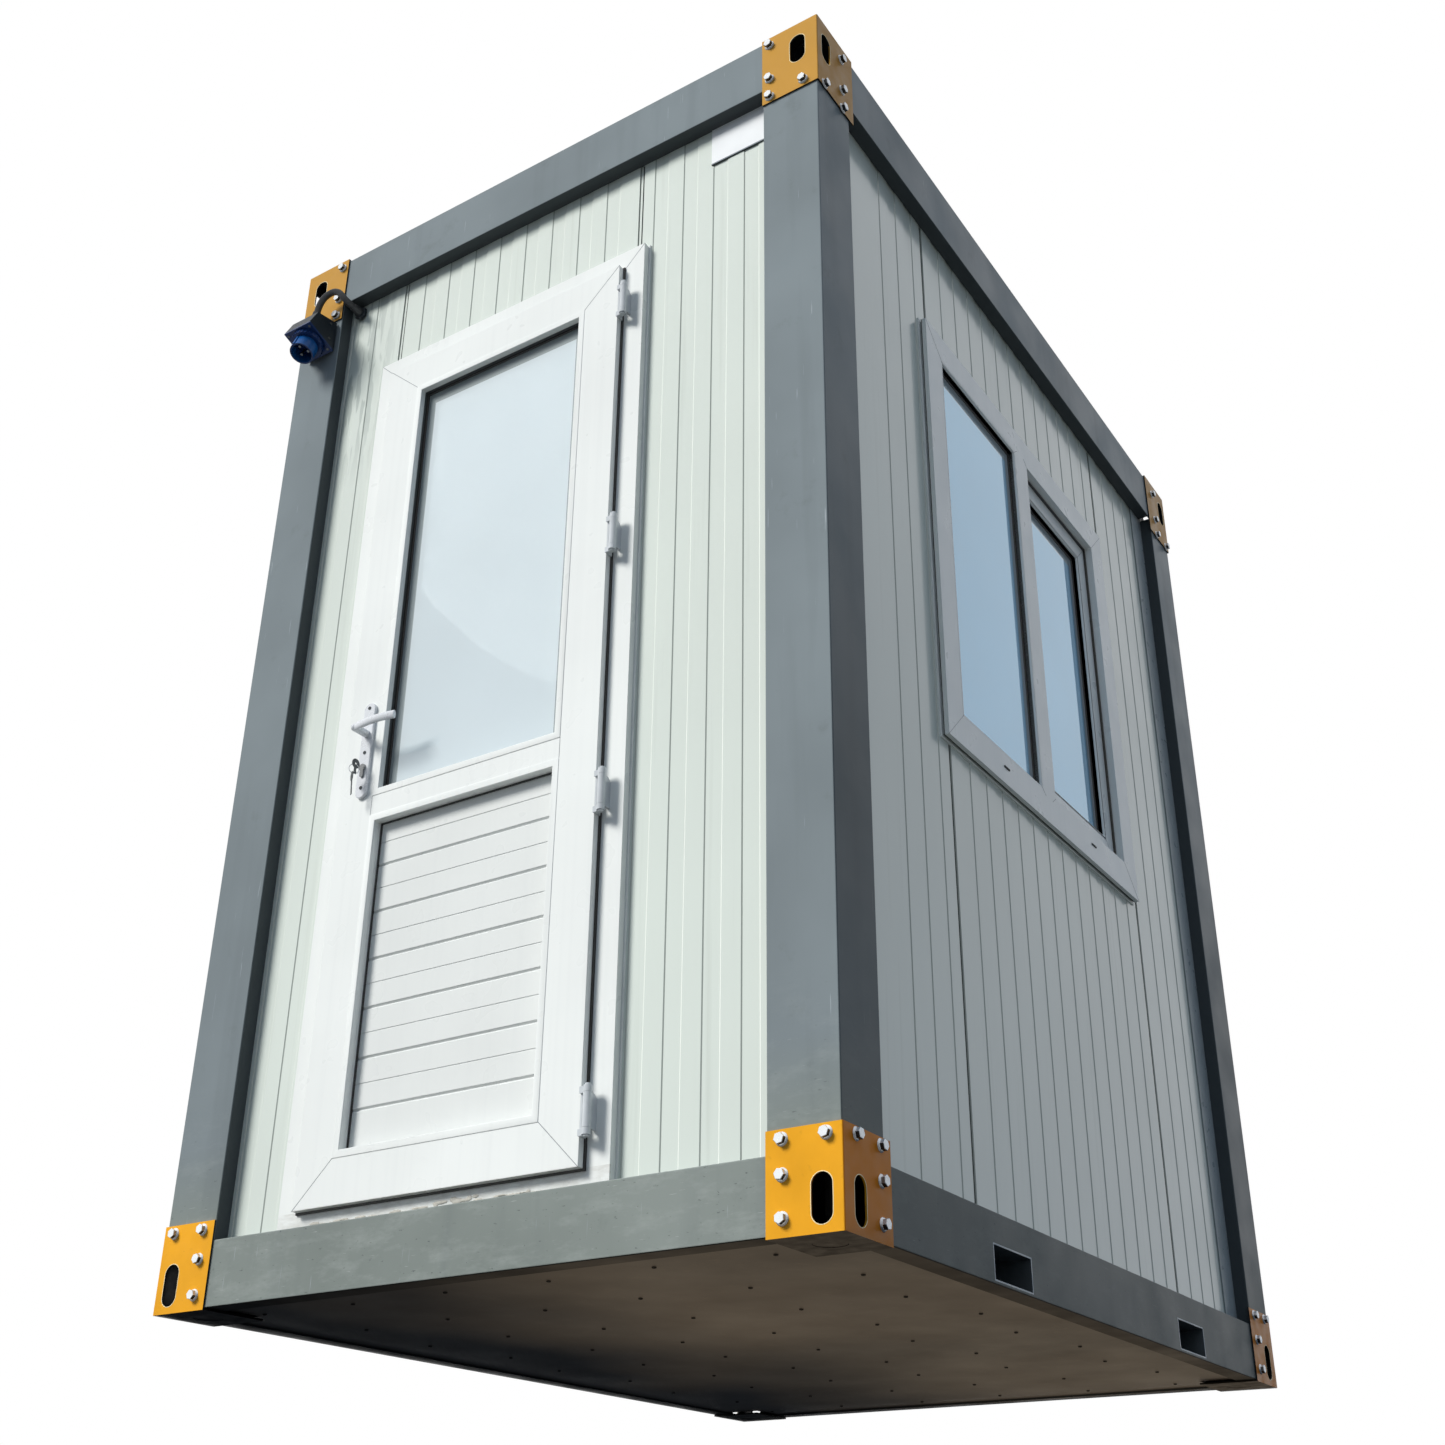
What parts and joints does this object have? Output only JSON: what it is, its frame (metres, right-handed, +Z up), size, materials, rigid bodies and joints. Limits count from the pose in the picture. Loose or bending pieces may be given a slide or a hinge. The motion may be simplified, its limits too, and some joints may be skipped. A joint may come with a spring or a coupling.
{
  "type": "security guard booth",
  "caption": "Small steel-framed guard booth with ribbed wall panels, a half-glazed door, a side window, corner fittings with lifting slots, and fork pockets.",
  "frame": {"origin": "middle of the underside, on the plane of the four bottom fittings' base plates", "axes": "+X right across the front as one faces the door, +Y to the back, +Z up"},
  "size_m": [1.64, 2.3754, 2.8],
  "materials": {
    "frame_paint": "slate grey semi-gloss paint",
    "fitting_paint": "yellow-orange semi-gloss paint",
    "panel_paint": "off-white gloss coated sheet",
    "white_pvc": "smooth white window profile",
    "clear_glass": "clear float glass",
    "floor_vinyl": "grey sheet flooring on a board",
    "ceiling_white": "matt white coated sheet",
    "underside_paint": "dark gloss paint",
    "roof_steel": "zinc-coated ribbed sheet",
    "flashing_grey": "grey coated strip",
    "flashing_pale": "pale bare plate",
    "handle_metal": "light grey anodised metal",
    "lock_metal": "nickel-plated lock",
    "hinge_metal": "pale coated metal",
    "inlet_black": "black moulded plastic",
    "inlet_blue": "blue moulded plastic",
    "cable_rubber": "black rubber sheath"
  },
  "bodies": {
    "booth": {"back_wall": "panel_paint", "bottom_beam_back": "frame_paint", "bottom_beam_front": "frame_paint", "bottom_beam_left": "frame_paint", "bottom_beam_right": "frame_paint", "bottom_fittings": "fitting_paint", "cable_gland": "inlet_black", "ceiling_panel": "ceiling_white", "corner_post_back_left": "frame_paint", "corner_post_back_right": "frame_paint", "corner_post_front_left": "frame_paint", "corner_post_front_right": "frame_paint", "door_frame": "white_pvc", "floor_board": "floor_vinyl", "fork_pockets": "frame_paint", "front_flashing": "flashing_pale", "front_wall_left": "panel_paint", "front_wall_over_door": "panel_paint", "front_wall_right": "panel_paint", "hinge_frame_halves": "hinge_metal", "inlet_box": "inlet_black", "inlet_cable": "cable_rubber", "inlet_pins": "lock_metal", "inlet_socket": "inlet_blue", "left_wall": "panel_paint", "right_wall": "panel_paint", "roof_sheet": "roof_steel", "side_flashing": "flashing_grey", "top_beam_back": "frame_paint", "top_beam_front": "frame_paint", "top_beam_left": "frame_paint", "top_beam_right": "frame_paint", "top_fittings": "fitting_paint", "underside_sheet": "underside_paint", "window_frame": "white_pvc", "window_glass": "clear_glass", "window_sash": "white_pvc"},
    "door": {"door_leaf": "white_pvc", "door_glass": "clear_glass", "door_lower_panel": "white_pvc", "hinge_leaf_halves": "hinge_metal", "handle_plates": "handle_metal", "lock_cylinder": "lock_metal"},
    "handle": {"handle_levers": "handle_metal"}
  },
  "joints": [
    {"name": "door_hinge", "type": "hinge", "parent": "booth", "child": "door", "pos_m": [0.293, -1.146, 1.23], "axis": [0, 0, 1], "range_deg": [0, 160]},
    {"name": "handle_turn", "type": "hinge", "parent": "door", "child": "handle", "pos_m": [-0.381, -1.14, 1.232], "axis": [0, 1, 0], "range_deg": [0, 40], "stiffness_Nm_per_rad": 1.5, "springref_deg": -20.05}
  ]
}
